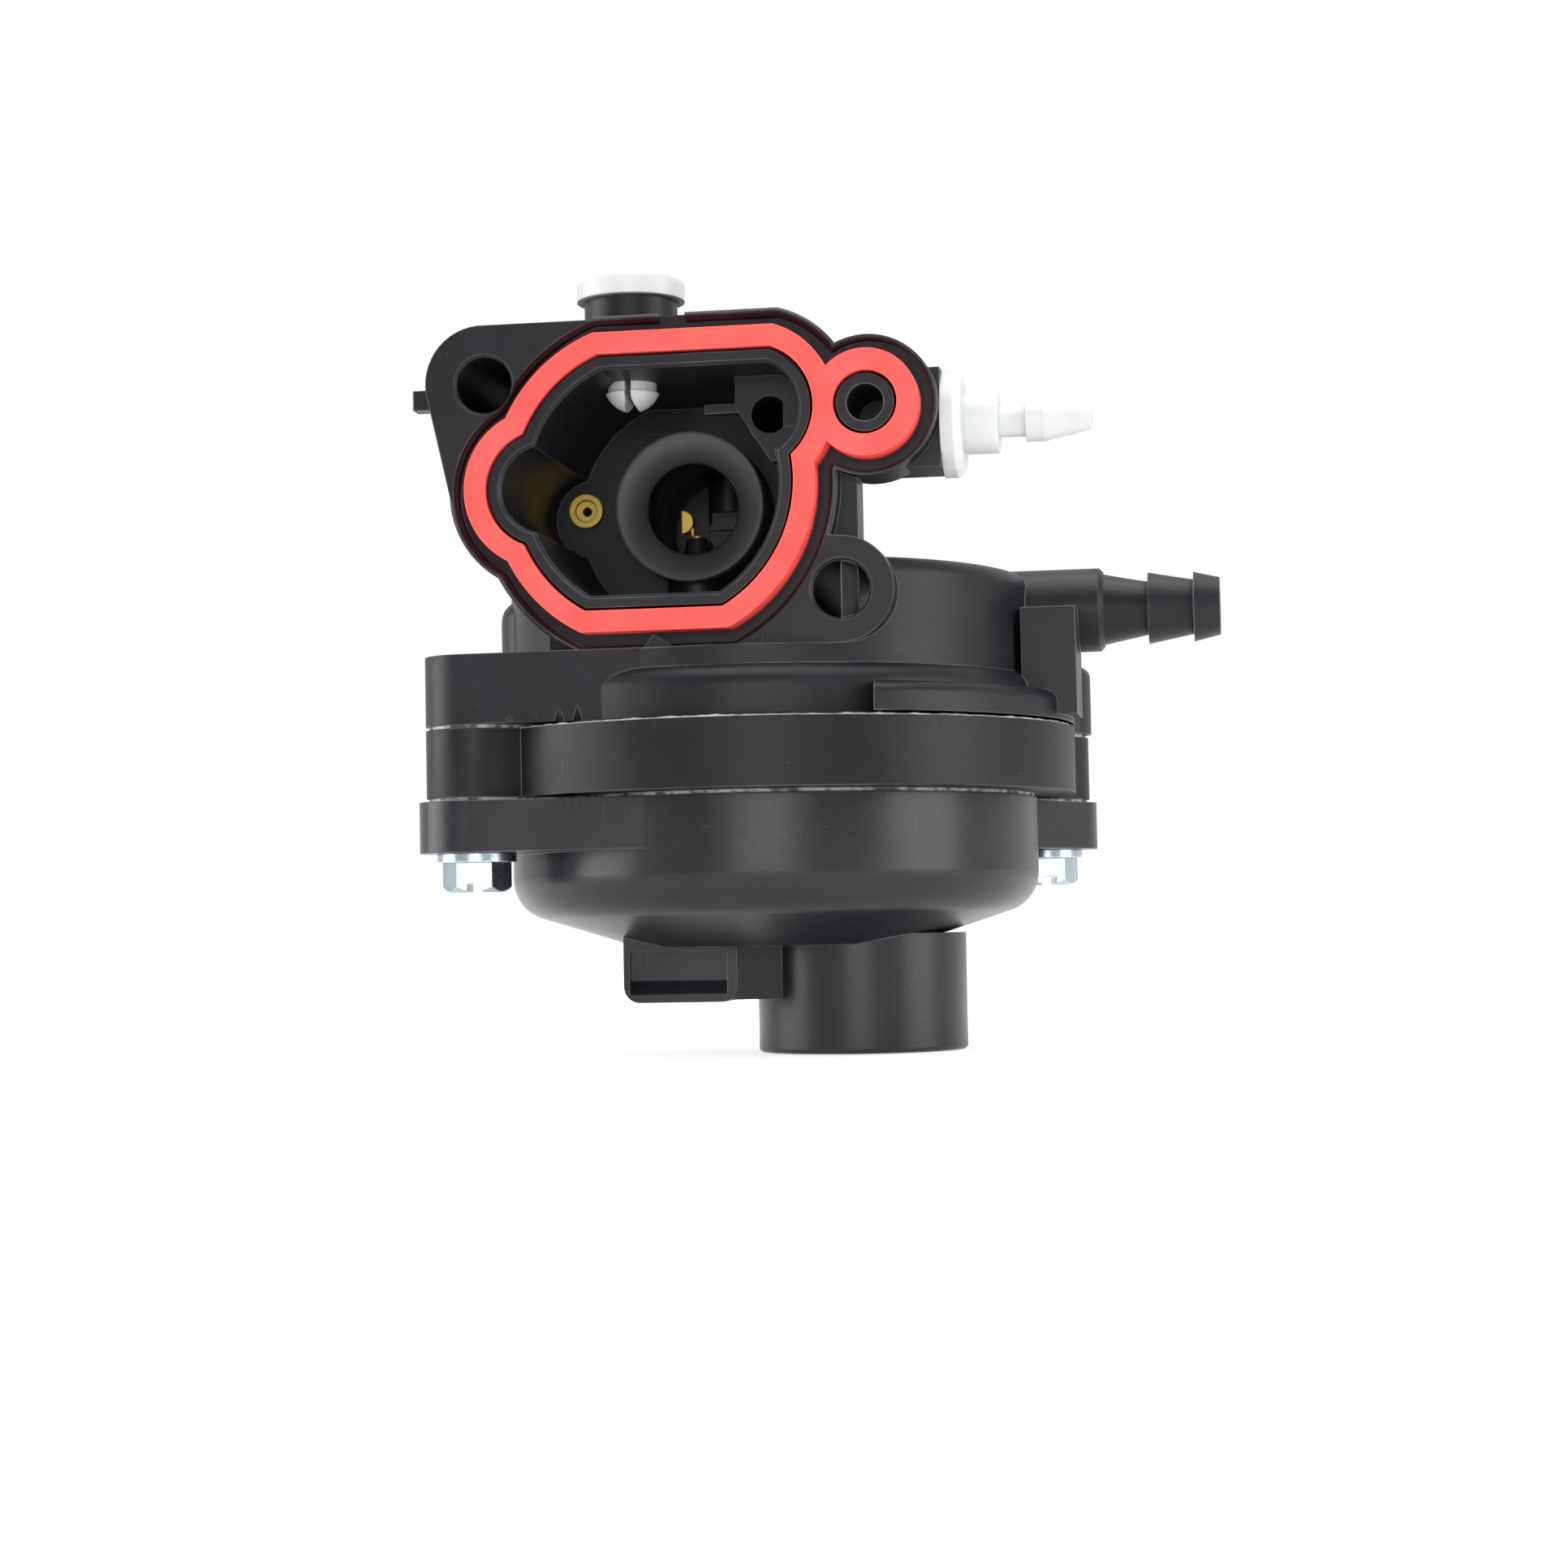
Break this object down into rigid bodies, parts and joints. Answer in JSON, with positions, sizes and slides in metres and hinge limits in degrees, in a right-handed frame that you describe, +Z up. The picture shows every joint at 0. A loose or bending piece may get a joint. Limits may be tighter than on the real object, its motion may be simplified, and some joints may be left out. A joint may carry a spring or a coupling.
{
  "type": "carburetor",
  "caption": "Float-bowl carburetor for a small engine, with red intake gasket, side fuel pipe, vent nipple, throttle, idle screw, float and needle.",
  "frame": {"origin": "on the bore axis, in the plane of the intake gasket's front face", "axes": "+X towards the fuel pipe, +Y from the air cleaner towards the engine, +Z up"},
  "size_m": [0.0872, 0.073, 0.0845],
  "materials": {
    "black_nylon": "satin, slightly mottled moulded nylon",
    "ring_nylon": "satin moulded nylon",
    "bowl_nylon": "satin moulded nylon",
    "red_rubber": "matt silicone rubber",
    "white_nylon": "natural translucent nylon",
    "brass": "turned brass",
    "zinc_steel": "bright zinc plate",
    "black_steel": "black oxide",
    "black_rubber": "matt",
    "spring_steel": "drawn wire",
    "fibre": "dark fibre sheet",
    "float_foam": "cream moulded float"
  },
  "bodies": {
    "carburetor": {"carburetor_body": "black_nylon", "float_chamber_ring": "ring_nylon", "float_bowl": "bowl_nylon", "intake_gasket": "red_rubber", "engine_o_ring": "red_rubber", "choke_hole_plug": "white_nylon", "vent_nipple": "white_nylon", "pilot_air_jet": "brass", "main_nozzle": "brass", "main_jet": "brass", "idle_jet": "brass", "throttle_shaft_seal": "black_rubber", "throttle_return_spring": "spring_steel", "idle_screw_spring": "spring_steel", "chamber_gasket": "fibre", "bowl_gasket": "fibre", "front_bowl_screw": "zinc_steel", "rear_bowl_screw": "zinc_steel", "front_screw_washer": "zinc_steel", "rear_screw_washer": "zinc_steel", "float_pin": "zinc_steel", "needle_seat": "brass", "passage_plug": "brass"},
    "throttle": {"throttle_shaft": "black_steel", "throttle_lever": "zinc_steel", "throttle_plate": "black_steel", "throttle_plate_screw": "zinc_steel"},
    "idle_screw": {"idle_speed_screw": "zinc_steel"},
    "float_arm": {"float": "float_foam"},
    "needle": {"inlet_needle": "zinc_steel"}
  },
  "joints": [
    {"name": "throttle_turn", "type": "hinge", "parent": "carburetor", "child": "throttle", "pos_m": [0, 0.044, 0], "axis": [0, 0, 1], "range_deg": [0, 75], "stiffness_Nm_per_rad": 0.01, "springref_deg": -34.38},
    {"name": "idle_screw_turn", "type": "hinge", "parent": "carburetor", "child": "idle_screw", "pos_m": [0.011, 0.026, 0.0174], "axis": [0, 1, 0], "range_deg": [-180, 180]},
    {"name": "float_hinge", "type": "hinge", "parent": "carburetor", "child": "float_arm", "pos_m": [0.031, 0.029, -0.024], "axis": [0, 1, 0], "range_deg": [0, 7]},
    {"name": "needle_slide", "type": "slide", "parent": "carburetor", "child": "needle", "axis": [0, 0, 1], "range_m": [0, 0.00074]}
  ],
  "couplings": [
    {"joint": "needle_slide", "follows": "float_hinge", "m_per_rad": 0.006}
  ]
}
